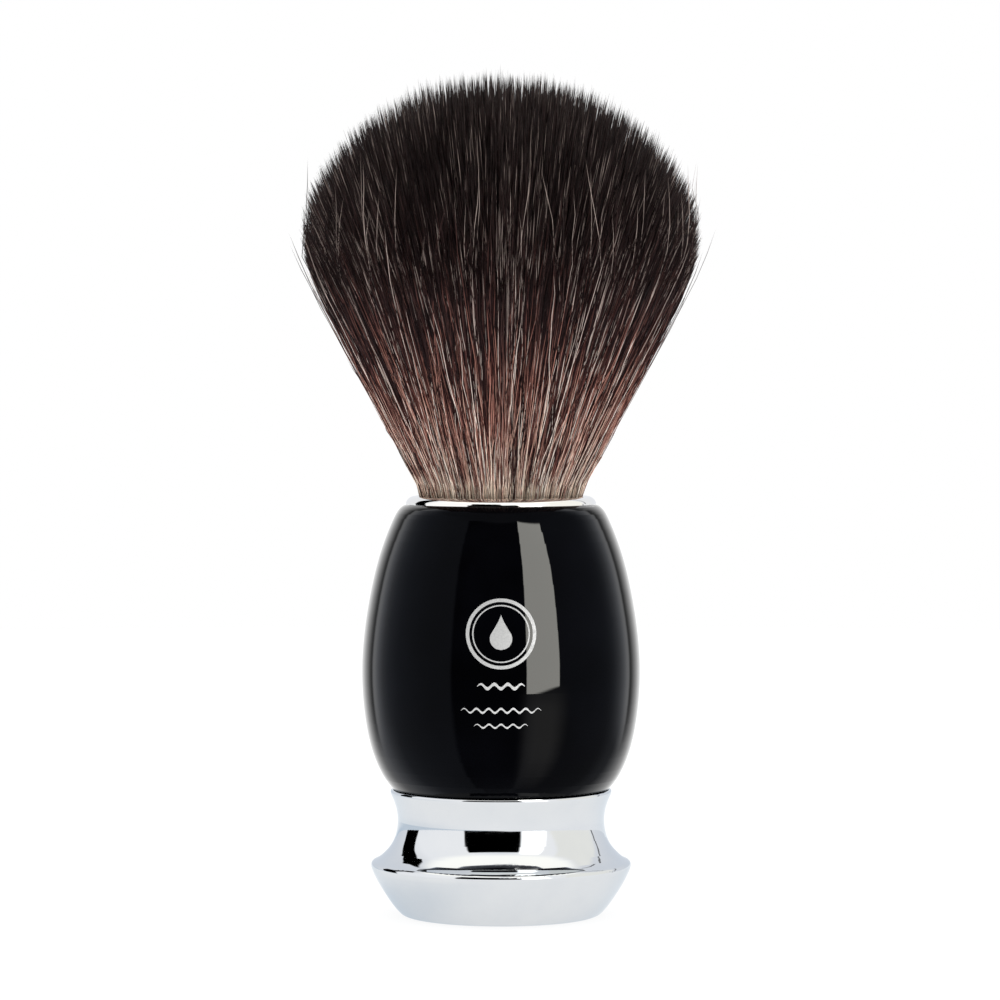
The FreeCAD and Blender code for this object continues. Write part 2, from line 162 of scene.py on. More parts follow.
def turned_coords(net):
    """Height and distance from the brush axis, for marks left by turning."""
    tc = net.node("ShaderNodeTexCoord")
    sep = net.node("ShaderNodeSeparateXYZ")
    net.put(sep.inputs[0], tc.outputs["Object"])
    x, y, z = sep.outputs
    rad = net.math("SQRT", net.math("ADD", net.math("MULTIPLY", x, x), net.math("MULTIPLY", y, y)))
    return tc.outputs["Object"], x, y, z, rad


# ---------------------------------------------------------------- materials
def mat_resin():
    m, net, p = material("black_resin")
    obj, x, y, z, rad = turned_coords(net)
    # deep black with the faintest cool cloud in it, and a polished surface
    # with hairline turning marks that only show in the gloss
    cloud = net.noise(obj, 90.0, 3.0)
    col = net.mix(net.step(cloud, 0.3, 0.75), (0.0006, 0.0006, 0.0009, 1), (0.0016, 0.0017, 0.0026, 1))
    net.put(p.inputs["Base Color"], col)
    haze = net.noise(obj, 420.0, 2.0)
    net.put(p.inputs["Roughness"], net.step(haze, 0.35, 0.8, to=(0.0008, 0.0034)))
    p.inputs["IOR"].default_value = 1.5
    p.inputs["Specular IOR Level"].default_value = 0.08
    lines = net.noise(None, 5200.0, 2.0, dims="1D", w=z)
    net.put(p.inputs["Normal"], net.bump(lines, 0.010, 0.00002))
    return m


def mat_chrome(name, tint=(0.715, 0.732, 0.752), edge=(0.84, 0.88, 0.92, 1.0)):
    m, net, p = material(name)
    obj, x, y, z, rad = turned_coords(net)
    veil = net.noise(obj, 260.0, 3.0)
    col = net.mix(net.step(veil, 0.3, 0.8), tuple(tint) + (1,), (tint[0] * 0.965, tint[1] * 0.97, tint[2] * 0.98, 1))
    net.put(p.inputs["Base Color"], col)
    p.inputs["Metallic"].default_value = 1.0
    p.inputs["Specular Tint"].default_value = edge
    fine = net.noise(obj, 900.0, 2.0)
    net.put(p.inputs["Roughness"], net.step(fine, 0.35, 0.8, to=(0.034, 0.060)))
    swell = net.noise(obj, 60.0, 1.0)
    net.put(p.inputs["Normal"], net.bump(swell, 0.02, 0.00015))
    return m


def mat_rubber(name, tone=0.028):
    m, net, p = material(name)
    obj, x, y, z, rad = turned_coords(net)
    grain = net.noise(obj, 2600.0, 4.0, 0.65)
    patch = net.noise(obj, 140.0, 3.0)
    col = net.mix(net.step(patch, 0.3, 0.75), (tone, tone, tone * 1.05, 1), (tone * 1.7, tone * 1.68, tone * 1.7, 1))
    net.put(p.inputs["Base Color"], col)
    net.put(p.inputs["Roughness"], net.step(grain, 0.3, 0.8, to=(0.62, 0.86)))
    net.put(p.inputs["Normal"], net.bump(grain, 0.35, 0.00006))
    return m


def mat_steel(name, tint, rough=0.32):
    m, net, p = material(name)
    obj, x, y, z, rad = turned_coords(net)
    streak = net.noise(None, 2400.0, 3.0, dims="1D", w=net.math("ADD", rad, net.math("MULTIPLY", z, 1.7)))
    dull = net.noise(obj, 300.0, 4.0)
    col = net.mix(net.step(dull, 0.35, 0.75), tuple(tint) + (1,), (tint[0] * 0.8, tint[1] * 0.79, tint[2] * 0.76, 1))
    net.put(p.inputs["Base Color"], col)
    p.inputs["Metallic"].default_value = 1.0
    net.put(p.inputs["Roughness"], net.step(dull, 0.3, 0.8, to=(rough - 0.08, rough + 0.12)))
    net.put(p.inputs["Normal"], net.bump(streak, 0.12, 0.00003))
    return m


def mat_cast(name, tint, rough, depth=0.0001):
    m, net, p = material(name)
    obj, x, y, z, rad = turned_coords(net)
    cloud = net.noise(obj, 240.0, 4.0)
    col = net.mix(net.step(cloud, 0.3, 0.75), tuple(tint) + (1,), (tint[0] * 0.78, tint[1] * 0.76, tint[2] * 0.7, 1))
    net.put(p.inputs["Base Color"], col)
    net.put(p.inputs["Roughness"], net.step(cloud, 0.3, 0.8, to=(rough, rough + 0.14)))
    net.put(p.inputs["Normal"], net.bump(net.noise(obj, 700.0, 3.0), 0.25, depth))
    return m


def mat_twine():
    m, net, p = material("waxed_twine")
    obj, x, y, z, rad = turned_coords(net)
    ang = net.math("ARCTAN2", y, x)
    lay = net.math("SINE", net.math("ADD", net.math("MULTIPLY", ang, 150.0), net.math("MULTIPLY", z, 14000.0)))
    col = net.mix(net.step(lay, -1.0, 1.0), (0.50, 0.44, 0.33, 1), (0.80, 0.75, 0.62, 1))
    net.put(p.inputs["Base Color"], col)
    net.put(p.inputs["Roughness"], net.step(lay, -1.0, 1.0, to=(0.55, 0.75)))
    net.put(p.inputs["Normal"], net.bump(lay, 0.6, 0.00008))
    return m


def dress(node, mat):
    me = NODES[node].data
    me.materials.clear()
    me.materials.append(mat)


chrome = mat_chrome("polished_chrome")
steel = mat_steel("zinc_plated_steel", (0.62, 0.63, 0.64))
epoxy = mat_cast("cured_epoxy", (0.66, 0.58, 0.40), 0.35)
dress("barrel", mat_resin())
dress("base", chrome)
dress("collar", mat_chrome("collar_chrome", (0.90, 0.89, 0.865), (1.0, 1.0, 1.0, 1.0)))
dress("foot_plug", mat_rubber("foot_elastomer"))
dress("base_seal", mat_rubber("seal_nitrile", 0.016))
for n in ("tie_screw", "spring_washer", "plain_washer"):
    dress(n, steel)
dress("barrel_insert", mat_steel("turned_brass", (0.78, 0.58, 0.27), 0.3))
dress("collar_adhesive", epoxy)
dress("bedding_epoxy", epoxy)
dress("loft_spacer", mat_cast("moulded_nylon", (0.80, 0.79, 0.74), 0.45))
dress("knot_ferrule", mat_cast("cup_nylon", (0.76, 0.75, 0.71), 0.42))
dress("knot_plug", mat_cast("cast_resin", (0.50, 0.32, 0.12), 0.18))
dress("knot_binding", mat_twine())


# ------------------------------------------------------------- fibre knot
# Outline of the knot (millimetres): the line of tips from the middle of the
# dome round to the lower edge of the shoulder, and the half-width of the
# bundle's surface at a height.
TIP_LINE = np.array([(0.0, 106.1), (5.0, 105.7), (9.9, 104.5), (12.6, 103.2), (15.3, 101.6), (17.4, 100.1),
                     (20.0, 97.7), (21.9, 95.3), (23.5, 92.7), (24.4, 90.4), (24.9, 87.8), (25.0, 85.4),
                     (24.7, 83.0), (24.1, 81.2), (23.5, 79.6)])
BODY_Z = np.array([51.0, 53.0, 55.0, 58.8, 63.9, 68.9, 71.5, 76.5, 79.1, 81.5, 84.2, 87.7, 94.0])
BODY_R = np.array([9.8, 9.9, 10.85, 12.85, 15.4, 17.95, 19.25, 21.8, 23.0, 23.9, 24.5, 24.8, 24.8])
ROOT_Z = 51.6
ROOT_R = 9.85

line = []
for (p, q) in zip(TIP_LINE[:-1], TIP_LINE[1:]):
    for t in np.linspace(0.0, 1.0, 24, endpoint=False):
        line.append(p + (q - p) * t)
line.append(TIP_LINE[-1])
line = np.array(line)
strip = np.pi * (line[1:, 0] + line[:-1, 0]) * np.hypot(*(line[1:] - line[:-1]).T)
share = np.concatenate([[0.0], np.cumsum(strip)]) / strip.sum()
arc = np.concatenate([[0.0], np.cumsum(np.hypot(*(line[1:] - line[:-1]).T))])


def arc_of(q):
    """Where on the line of tips a fibre ends, as a length from the middle of
    the dome, when it starts inside share q of the bundle's area."""
    return np.interp(q, share, arc)


def tip_at(s):
    return np.interp(s, arc, line[:, 0]), np.interp(s, arc, line[:, 1])


def body_r(z):
    return np.interp(z, BODY_Z, BODY_R)


def spread_of(z):
    """How far up the fan a height is: nothing in the collar, then bending
    outwards over the first few millimetres, then straight."""
    h = np.maximum(z - 53.0, 0.0)
    return h - 0.35 * (1.0 - np.exp(-h / 1.0))


def cell_noise(x, y, k):
    h = np.sin(x * 12.9898 + y * 78.233 + k * 3.17) * 43758.5453
    return h - np.floor(h)


def heights(z0, z1, rings, ease=1.0):
    t = np.linspace(0.0, 1.0, rings)[None, :] ** ease
    return t, z0[:, None] + (z1 - z0)[:, None] * t


def crimp(rng, x, y, z, wave, lam=(8.0, 20.0)):
    """Small bends along a fibre, none inside the collar."""
    n = len(x)
    for k in range(2):
        length = rng.uniform(*lam, n) * (1.0 if k == 0 else 0.55)
        ph = rng.uniform(0, 2 * np.pi, n)
        da = rng.uniform(0, 2 * np.pi, n)
        am = np.abs(rng.normal(0.0, 1.0, n)) * wave * (1.0 if k == 0 else 0.45)
        s = np.sin(2 * np.pi * z / length[:, None] + ph[:, None]) * am[:, None]
        fade = np.clip((z - 53.2) / 5.0, 0.0, 1.0)
        x = x + s * np.cos(da)[:, None] * fade
        y = y + s * np.sin(da)[:, None] * fade
    return x, y


def tuft_of(s, phi, size):
    """The tuft a tip belongs to: its middle, as arc and angle, and two
    numbers of its own."""
    row = np.floor(s / size)
    rad = tip_at((row + 0.5) * size)[0]
    count = np.maximum(np.round(2 * np.pi * rad / size), 3.0)
    turn = phi / (2 * np.pi) * count + 0.5 * (row % 2)
    col = np.floor(turn)
    h1, h2 = cell_noise(col, row, 1), cell_noise(col, row, 5)
    mid_s = (row + 0.5 + 0.5 * (h1 - 0.5)) * size
    mid_phi = (col + 0.5 + 0.5 * (h2 - 0.5) - 0.5 * (row % 2)) / count * 2 * np.pi
    return mid_s, mid_phi, cell_noise(col, row, 9), h1


def fan(rng, n, q0, q1, start, rings, wave, swing, tuft, spread, stray=0.0, size=0.9, ease=1.0):
    """Straight fibres that fan out from the collar to the line of tips, and
    draw together into pointed tufts over their last part."""
    q = rng.uniform(q0, q1, n)
    rr = ROOT_R * np.sqrt(q)
    phi = rng.uniform(0, 2 * np.pi, n)
    far = rng.uniform(0, 1, n) < stray
    end = phi + rng.normal(0.0, 1.0, n) * np.where(far, swing * 6.0, swing)
    s = arc_of(q)
    rt, zt = tip_at(s)
    ms, mphi, tall, _ = tuft_of(s, np.mod(end, 2 * np.pi), size)
    turns = end - np.mod(end, 2 * np.pi)
    k = tuft * rng.uniform(0.35, 1.0, n)
    gs, gphi = s + (ms - s) * k, end + (mphi + turns - end) * k
    gr, gz = tip_at(np.maximum(gs, 0.0))
    # uneven cut: each tuft has its own height, each fibre its own length
    short = np.where(rng.uniform(0, 1, n) < 0.20, rng.uniform(0.0, 3.2, n), 0.0)
    cut = rng.normal(0.0, spread, n) + (tall - 0.42) * 1.25 - short - 0.5 * np.abs(gs - ms)
    length = np.hypot(rt - rr, zt - 53.0)
    m = 1.0 + cut / length
    rt, zt = rr + (rt - rr) * m, 53.0 + (zt - 53.0) * m
    gr, gz = rr + (gr - rr) * m, 53.0 + (gz - 53.0) * m
    z0 = np.full(n, ROOT_Z) if start is None else zt - rng.uniform(start[0], start[1], n)
    t, z = heights(z0, zt, rings, ease)
    w = spread_of(z) / spread_of(zt)[:, None]
    ax, ay = rr * np.cos(phi), rr * np.sin(phi)
    bx, by = rt * np.cos(end), rt * np.sin(end)
    x = ax[:, None] + (bx - ax)[:, None] * w
    y = ay[:, None] + (by - ay)[:, None] * w
    x, y = crimp(rng, x, y, z, wave)
    pull = np.clip((z - zt[:, None] + 9.0) / 9.0, 0.0, 1.0) ** 1.6
    x = x + (gr * np.cos(gphi) - bx)[:, None] * pull
    y = y + (gr * np.sin(gphi) - by)[:, None] * pull
    z = z + (gz - zt)[:, None] * pull
    return np.stack([x, y, z], axis=2), phi


def surface(rng, n, lift, top, rings, wave, swing):
    """Fibres that follow the outside of the bundle."""
    phi = rng.uniform(0, 2 * np.pi, n)
    zt = rng.uniform(top[0], top[1], n)
    t, z = heights(np.full(n, ROOT_Z), zt, rings)
    up = np.clip((z - 53.0) / 20.0, 0.0, 1.0)
    r = body_r(z) * (1.0 + (rng.uniform(lift[0], lift[1], n)[:, None]) * up)
    ang = phi[:, None] + rng.normal(0.0, swing, n)[:, None] * ((z - 53.0) / 50.0)
    x, y = r * np.cos(ang), r * np.sin(ang)
    x, y = crimp(rng, x, y, z, wave)
    return np.stack([x, y, z], axis=2), phi


def loose(rng, n, slope, top, rings, wave, swing, root=(9.7, 10.05)):
    """Single fibres that stand off the flank, straight past the shoulder."""
    phi = rng.uniform(0, 2 * np.pi, n)
    rr = rng.uniform(root[0], root[1], n)
    zt = rng.uniform(top[0], top[1], n)
    m = rng.uniform(slope[0], slope[1], n)
    t, z = heights(np.full(n, ROOT_Z), zt, rings)
    r = rr[:, None] + m[:, None] * spread_of(z)
    # the long ones come upright again near the tip
    r = r - 0.010 * np.maximum(z - 76.0, 0.0) ** 2 * rng.uniform(0.3, 1.6, n)[:, None]
    ang = phi[:, None] + rng.normal(0.0, swing, n)[:, None] * ((z - 53.0) / 30.0)
    x, y = r * np.cos(ang), r * np.sin(ang)
    x, y = crimp(rng, x, y, z, wave)
    return np.stack([x, y, z], axis=2), phi


def build_fibres(name, P, rad, col, v, tone):
    """One mesh of tapered three-sided fibres with pointed tips.

    P (n, k, 3) mm, rad (n, k) mm, col (n,) colour column 0..1023, v (n, k)
    place along the fibre.
    """
    n, k, _ = P.shape
    T = np.gradient(P, axis=1)
    T /= np.maximum(np.linalg.norm(T, axis=2, keepdims=True), 1e-9)
    ref = np.array([0.0, 1.0, 0.0])
    A = np.cross(T, ref)
    A /= np.maximum(np.linalg.norm(A, axis=2, keepdims=True), 1e-9)
    B = np.cross(T, A)
    turn = (np.arange(3) / 3.0 * 2 * np.pi)[None, None, :, None]
    spin = (np.arange(n) * 2.399963)[:, None, None, None]
    ring = (P[:, :-1, None, :] + rad[:, :-1, None, None]
            * (np.cos(turn + spin) * A[:, :-1, None, :] + np.sin(turn + spin) * B[:, :-1, None, :]))
    m = k - 1
    per = m * 3 + 1
    verts = np.empty((n, per, 3))
    verts[:, : m * 3] = ring.reshape(n, m * 3, 3)
    verts[:, m * 3] = P[:, -1]
    verts = (verts.reshape(-1, 3) * MM).astype(np.float32)
    # faces: quads between rings, triangles at the tip, one triangle below
    quads = []
    for j in range(m - 1):
        for s in range(3):
            s2 = (s + 1) % 3
            quads.append((j * 3 + s, j * 3 + s2, (j + 1) * 3 + s2, (j + 1) * 3 + s))
    tips = [((m - 1) * 3 + s, (m - 1) * 3 + (s + 1) % 3, m * 3) for s in range(3)]
    foot = [(2, 1, 0)]
    q = np.array(quads)
    tr = np.array(tips + foot)
    off = (np.arange(n) * per)[:, None, None]
    qi = (q[None] + off).reshape(n, -1)
    ti = (tr[None] + off).reshape(n, -1)
    loops = np.concatenate([qi, ti], axis=1).astype(np.int32)
    nq, nt = len(q), len(tr)
    sizes = np.array([4] * nq + [3] * nt)
    starts = np.concatenate([[0], np.cumsum(sizes)[:-1]])
    L = nq * 4 + nt * 3
    poly_start = (np.arange(n)[:, None] * L + starts[None]).reshape(-1).astype(np.int32)
    me = bpy.data.meshes.new(name)
    me.vertices.add(n * per)
    me.vertices.foreach_set("co", verts.reshape(-1))
    me.loops.add(n * L)
    me.loops.foreach_set("vertex_index", loops.reshape(-1))
    me.polygons.add(n * (nq + nt))
    me.polygons.foreach_set("loop_start", poly_start)
    me.polygons.foreach_set("use_smooth", np.ones(n * (nq + nt), dtype=bool))
    # colour column across, place along the fibre upwards
    uv = me.uv_layers.new(name="OFBake")
    side_u = np.array([0.18, 0.5, 0.82])
    lu, lv = [], []
    for j in range(m - 1):
        for s in range(3):
            lu += [0.15, 0.85, 0.85, 0.15]
            lv += [j, j, j + 1, j + 1]
    for s in range(3):
        lu += [0.15, 0.85, 0.5]
        lv += [m - 1, m - 1, m]
    lu += [0.85, 0.5, 0.15]
    lv += [0, 0, 0]
    lu, lv = np.array(lu), np.array(lv)
    U = (col[:, None] + lu[None]) / 1024.0
    Vv = v[:, lv].copy()
    Vv[:, -3] += 0.001
    me.uv_layers.active.data.foreach_set("uv", np.stack([U, np.clip(Vv, 0.002, 0.998)], axis=2).astype(np.float32).reshape(-1))
    me.update()
    me.validate()
    ob = bpy.data.objects.new(name, me)
    scene.collection.objects.link(ob)
    ob.data.materials.append(tone)
    return ob


def mat_fibre():
    """Crimped synthetic fibre. Across the map: 1024 fibres ranked from dark
    to pale. Up the map: pale root, reddish middle, black tip."""
    m, net, p = material("knot_fibre")
    uvn = net.node("ShaderNodeUVMap", uv_map="OFBake")
    sep = net.node("ShaderNodeSeparateXYZ")
    net.put(sep.inputs[0], uvn.outputs[0])
    u, v = sep.outputs[0], sep.outputs[1]
    idx = net.math("FLOOR", net.math("MULTIPLY", u, 1024.0))

    def rnd(seed):
        w = net.node("ShaderNodeTexWhiteNoise", noise_dimensions="1D")
        net.put(w.inputs["W"], net.math("ADD", net.math("MULTIPLY", idx, 1.37), seed))
        return w.outputs["Value"]

    a, c, d = rnd(3.1), rnd(211.3), rnd(401.9)
    # each fibre's dye starts at its own height
    vv = net.math("ADD", v, net.math("MULTIPLY", net.math("SUBTRACT", a, 0.5), 0.26))
    # the last stop of the dark, red and tan ramps lifts the very tips a little: a painted highlight, rim light on the
    # tuft tips
    dark = net.ramp(vv, [
        (0.00, (0.066, 0.032, 0.027)),
        (0.06, (0.034, 0.0140, 0.0135)),
        (0.20, (0.0235, 0.0094, 0.0096)),
        (0.38, (0.0165, 0.0075, 0.0080)),
        (0.56, (0.0094, 0.0045, 0.0048)),
        (0.88, (0.0073, 0.0038, 0.0037)),
        (1.00, (0.0140, 0.0090, 0.0085)),
    ])
    red = net.ramp(vv, [
        (0.00, (0.48, 0.32, 0.25)),
        (0.06, (0.33, 0.145, 0.113)),
        (0.18, (0.145, 0.050, 0.042)),
        (0.32, (0.047, 0.0172, 0.0164)),
        (0.45, (0.0268, 0.0118, 0.0116)),
        (0.64, (0.0228, 0.0118, 0.0115)),
        (0.88, (0.0190, 0.0108, 0.0104)),
        (1.00, (0.0320, 0.0210, 0.0195)),
    ])
    tan = net.ramp(vv, [
        (0.00, (0.86, 0.72, 0.60)),
        (0.08, (0.84, 0.57, 0.46)),
        (0.22, (0.53, 0.250, 0.193)),
        (0.38, (0.155, 0.064, 0.053)),
        (0.54, (0.064, 0.032, 0.029)),
        (0.72, (0.0360, 0.0240, 0.0225)),
        (0.88, (0.0290, 0.0200, 0.0188)),
        (1.00, (0.0480, 0.0350, 0.0320)),
    ])
    pale = net.ramp(v, [
        (0.00, (0.94, 0.86, 0.77)),
        (0.29, (0.92, 0.78, 0.70)),
        (0.46, (0.55, 0.445, 0.40)),
        (0.75, (0.34, 0.272, 0.240)),
        (0.90, (0.25, 0.198, 0.174)),
        (1.00, (0.0900, 0.0700, 0.0620)),
    ])
    # the spread from dark to pale fibres is partly the fibres' own mixed dye and partly painted light: the darkest
    # fibres carry painted shade between fibres, the brightest painted glints on single strands
    col = net.mix(net.step(u, 0.42, 0.50), dark, red)
    col = net.mix(net.step(u, 0.76, 0.80), col, tan)
    col = net.mix(net.step(u, 0.944, 0.952), col, pale)
    # the very root is pale cream on every fibre
    reach = net.math("MULTIPLY_ADD", c, 0.060, 0.014)
    cream = net.step(net.math("DIVIDE", v, reach), 0.0, 1.0, to=(1.0, 0.0))
    cream = net.math("MULTIPLY", cream, net.step(rnd(77.7), 0.25, 0.80, to=(0.04, 0.94)))
    col = net.mix(cream, col, (0.84, 0.72, 0.56, 1))
    # small changes of tone along the fibre
    vec = net.node("ShaderNodeCombineXYZ")
    net.put(vec.inputs[0], net.math("MULTIPLY", idx, 3.7))
    net.put(vec.inputs[1], net.math("MULTIPLY", v, 22.0))
    mott = net.noise(vec.outputs[0], 1.0, 2.0)
    gain = net.math("ADD", net.step(mott, 0.2, 0.8, to=(0.60, 1.20)), net.math("MULTIPLY", d, 0.35))
    scaled = net.node("ShaderNodeVectorMath", operation="SCALE")
    net.put(scaled.inputs[0], col)
    net.put(scaled.inputs["Scale"], gain)
    net.put(p.inputs["Base Color"], scaled.outputs[0])
    net.put(p.inputs["Roughness"], net.step(d, 0.0, 1.0, smooth=False, to=(0.36, 0.55)))
    p.inputs["Specular IOR Level"].default_value = 0.10
    return m


def mat_painted_shade_core():
    m, net, p = material("knot_shadow")
    vec = net.stretched(900.0, 900.0, 40.0)
    streak = net.noise(vec, 1.0, 3.0, 0.6)
    tc = net.node("ShaderNodeTexCoord")
    sep = net.node("ShaderNodeSeparateXYZ")
    net.put(sep.inputs[0], tc.outputs["Object"])
    # painted shade: near black above, and low down the fibres' warm root colour as it looks in shade
    low = net.step(sep.outputs[2], 0.053, 0.072, to=(1.0, 0.0))
    dark = net.mix(net.step(streak, 0.35, 0.7), (0.0035, 0.0028, 0.003, 1), (0.011, 0.008, 0.008, 1))
    warm = net.mix(net.step(streak, 0.35, 0.7), (0.012, 0.007, 0.006, 1), (0.055, 0.032, 0.025, 1))
    net.put(p.inputs["Base Color"], net.mix(low, dark, warm))
    net.put(p.inputs["Roughness"], net.step(streak, 0.3, 0.8, to=(0.75, 0.95)))
    p.inputs["Specular IOR Level"].default_value = 0.1
    net.put(p.inputs["Normal"], net.bump(streak, 0.8, 0.0003))
    return m


def lathe_mesh(name, pts, segs, mat, ripple=None):
    """Closed surface turned about Z; pts (r, z) in mm from axis to axis."""
    vs, fs = [], []
    rows = []
    for (r, z) in pts:
        if r < 1e-6:
            rows.append([len(vs)])
            vs.append((0.0, 0.0, z * MM))
        else:
            row = []
            for i in range(segs):
                a = 2 * math.pi * i / segs
                rr = r * (1.0 + (ripple(a, z) if ripple else 0.0))
                row.append(len(vs))
                vs.append((rr * math.cos(a) * MM, rr * math.sin(a) * MM, z * MM))
            rows.append(row)
    for a, b in zip(rows[:-1], rows[1:]):
        for i in range(segs):
            j = (i + 1) % segs
            if len(a) == 1:
                fs.append((a[0], b[j], b[i]))
            elif len(b) == 1:
                fs.append((a[i], a[j], b[0]))
            else:
                fs.append((a[i], a[j], b[j], b[i]))
    me = bpy.data.meshes.new(name)
    me.from_pydata(vs, [], fs)
    me.validate()
    me.update()
    for poly in me.polygons:
        poly.use_smooth = True
    ob = bpy.data.objects.new(name, me)
    scene.collection.objects.link(ob)
    me.materials.append(mat)
    return ob


rng = np.random.default_rng(2107)
fibre_mat = mat_fibre()
HAIR = []
V_LEN = 54.5
WAVES = [(k, rng.uniform(0, 2 * np.pi), rng.uniform(0.6, 1.0)) for k in (5, 9, 14, 21, 33, 47, 66, 90)]


def v_of(P):
    """Place along the fibre, 0 at the collar and 1 at the tip of the longest."""
    step = np.linalg.norm(np.diff(P, axis=1), axis=2)
    s = np.concatenate([np.zeros((len(P), 1)), np.cumsum(step, axis=1)], axis=1)
    lean = 1.0 / np.cos(np.arctan(np.minimum(np.hypot(P[:, 0, 0], P[:, 0, 1]) / 50.0, 0.55)))
    start = np.where(P[:, 0, 2] < 53.0, P[:, 0, 2] - 53.0, (P[:, 0, 2] - 53.0) * lean)
    return np.maximum(s + start[:, None], 0.0) / V_LEN


def taper(P, root, rng, tip):
    """Radius along the fibre: even, then narrowing over its last 3.5 mm."""
    step = np.linalg.norm(np.diff(P, axis=1), axis=2)
    s = np.concatenate([np.zeros((len(P), 1)), np.cumsum(step, axis=1)], axis=1)
    left = s[:, -1:] - s
    base = root * rng.uniform(0.80, 1.22, len(P))[:, None]
    return base * (tip + (1.0 - tip) * np.clip(left / 3.5, 0.0, 1.0) ** 0.8)


def columns(n, phi, lo, hi, clump):
    """Colour column of each fibre, 0 dark to 1023 pale: mostly chance, and
    partly shared with its neighbours, which gives streaks."""
    s = sum(w * np.sin(k * phi + p) for (k, p, w) in WAVES) / 1.9
    g = rng.normal(0.0, 1.0, n) + clump * s
    rank = np.argsort(np.argsort(g)) / float(n)
    return np.floor(np.clip(lo + (hi - lo) * rank, 0.0, 0.9995) * 1024.0)


def piece(name, made, radius, lo=0.0, hi=1.0, clump=0.8, tip=0.22):
    P, phi = made
    n, rings = P.shape[:2]
    ob = build_fibres(name, P, taper(P, radius, rng, tip), columns(n, phi, lo, hi, clump), v_of(P), fibre_mat)
    HAIR.append(ob)


# outer layers, whole fibres from the collar to the tip
piece("knot_fibres_outer_a", fan(rng, 3000, 0.86, 1.0, None, 12, 0.15, 0.042, 0.72, 0.36, 0.15), 0.056, 0.0, 1.0, 0.30, 0.30)
piece("knot_fibres_outer_b", fan(rng, 3000, 0.82, 1.0, None, 12, 0.15, 0.042, 0.72, 0.36, 0.15), 0.055, 0.0, 1.0, 0.30, 0.30)
piece("knot_fibres_outer_c", fan(rng, 3000, 0.74, 0.99, None, 12, 0.12, 0.034, 0.72, 0.36, 0.07), 0.055, 0.0, 1.0, 0.30, 0.30)
# fibres lying on the outside of the bundle, a few of them pale
piece("knot_fibres_surface", surface(rng, 960, (-0.035, 0.012), (78.0, 91.0), 13, 0.24, 0.34), 0.047, 0.05, 0.965, 0.2, 0.18)
piece("knot_fibres_guard", surface(rng, 100, (-0.014, 0.008), (83.0, 96.0), 14, 0.18, 0.20), 0.036, 0.94, 1.0, 0.0, 0.12)
# single fibres that stand off the flank
piece("knot_fibres_loose", loose(rng, 540, (0.475, 0.553), (70.0, 87.0), 12, 0.18, 0.09), 0.040, 0.35, 1.0, 0.0, 0.12)
piece("knot_fibres_fringe", loose(rng, 340, (0.50, 0.562), (60.0, 76.0), 10, 0.16, 0.10), 0.031, 0.70, 1.0, 0.0, 0.15)
# upper ends of the inner fibres, which make the dome
piece("knot_fibres_dome_a", fan(rng, 6900, 0.0, 0.62, (11.0, 18.0), 6, 0.08, 0.030, 0.78, 0.36, 0.05), 0.056, 0.0, 0.972, 0.45, 0.30)
piece("knot_fibres_dome_b", fan(rng, 6900, 0.0, 0.62, (11.0, 18.0), 6, 0.08, 0.030, 0.78, 0.36, 0.05), 0.056, 0.0, 0.972, 0.45, 0.30)
piece("knot_fibres_rim_a", fan(rng, 5300, 0.50, 0.90, (14.0, 24.0), 7, 0.09, 0.030, 0.78, 0.36, 0.06), 0.056, 0.0, 0.98, 0.45, 0.30)
piece("knot_fibres_rim_b", fan(rng, 5300, 0.60, 0.97, (16.0, 26.0), 7, 0.09, 0.030, 0.78, 0.36, 0.06), 0.056, 0.0, 0.98, 0.45, 0.30)
# thin pale fibres among the dark ends
piece("knot_fibres_lights", fan(rng, 1500, 0.06, 0.99, (16.0, 28.0), 8, 0.12, 0.050, 0.30, 0.40, 0.20), 0.029, 0.90, 1.0, 0.0, 0.15)

# the shaded inside of the bundle, drawn as a dark turned solid with painted shade: near black above, the warm root
# colour in shade low down
painted_shade_core_pts = [(0.0, 51.2), (8.2, 51.4)]
for z in np.linspace(53.0, 86.0, 16):
    painted_shade_core_pts.append((float(body_r(z)) * 0.80, float(z)))
for r in (18.6, 17.0, 14.5, 11.5, 8.5, 5.5, 3.0):
    painted_shade_core_pts.append((r, float(np.interp(r / 0.93, TIP_LINE[:11, 0], TIP_LINE[:11, 1])) - 6.0))
painted_shade_core_pts.append((0.0, 98.6))
painted_shade_core = lathe_mesh("knot_painted_shade_core", painted_shade_core_pts, 120, mat_painted_shade_core(),
                  ripple=lambda a, z: 0.012 * math.sin(a * 31 + z * 0.7) + 0.008 * math.sin(a * 53 - z))
HAIR.append(painted_shade_core)

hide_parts("fibre_root")
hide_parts("fibre_bloom")
for ob in HAIR:
    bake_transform(ob)


